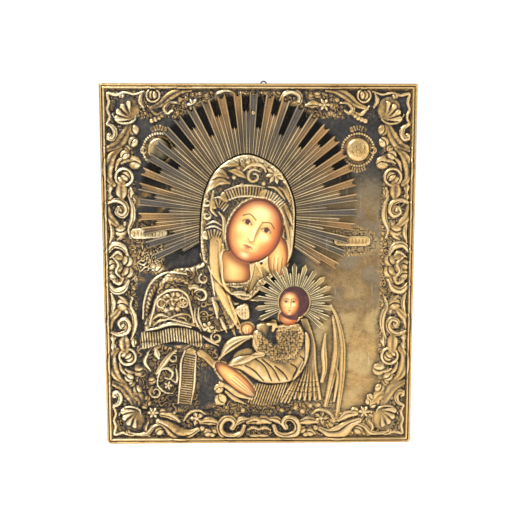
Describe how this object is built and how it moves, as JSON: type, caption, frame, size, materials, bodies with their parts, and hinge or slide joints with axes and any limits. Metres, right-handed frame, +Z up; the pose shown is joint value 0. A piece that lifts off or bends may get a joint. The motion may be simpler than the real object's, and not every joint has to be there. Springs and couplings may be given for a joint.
{
  "type": "icon panel",
  "caption": "Upright mother-and-child icon: painted wooden board under an embossed gilt-brass cover with rayed haloes, a scroll border and a wire eye to hang it by.",
  "frame": {"origin": "inside the crown of the hanging eye, where a hook or wall nail bears", "axes": "+Z up the panel, the picture faces -Y, +Y into the wall, +X to the viewer's right"},
  "size_m": [0.267, 0.0283, 0.3153],
  "materials": {
    "painted_wood": "old bare wood, painted on the front",
    "gilt_brass": "worn gilding over brass, dark patina in the recesses",
    "halo_brass": "dull tarnished brass, brighter on the ridges",
    "dark_wire": "dark oxidised iron wire"
  },
  "bodies": {
    "root": {"board": "painted_wood", "cover": "gilt_brass", "mother_halo": "halo_brass", "child_halo": "halo_brass", "hanging_eye": "dark_wire", "halo_nail": "halo_brass", "veil_nail": "dark_wire"}
  },
  "joints": []
}
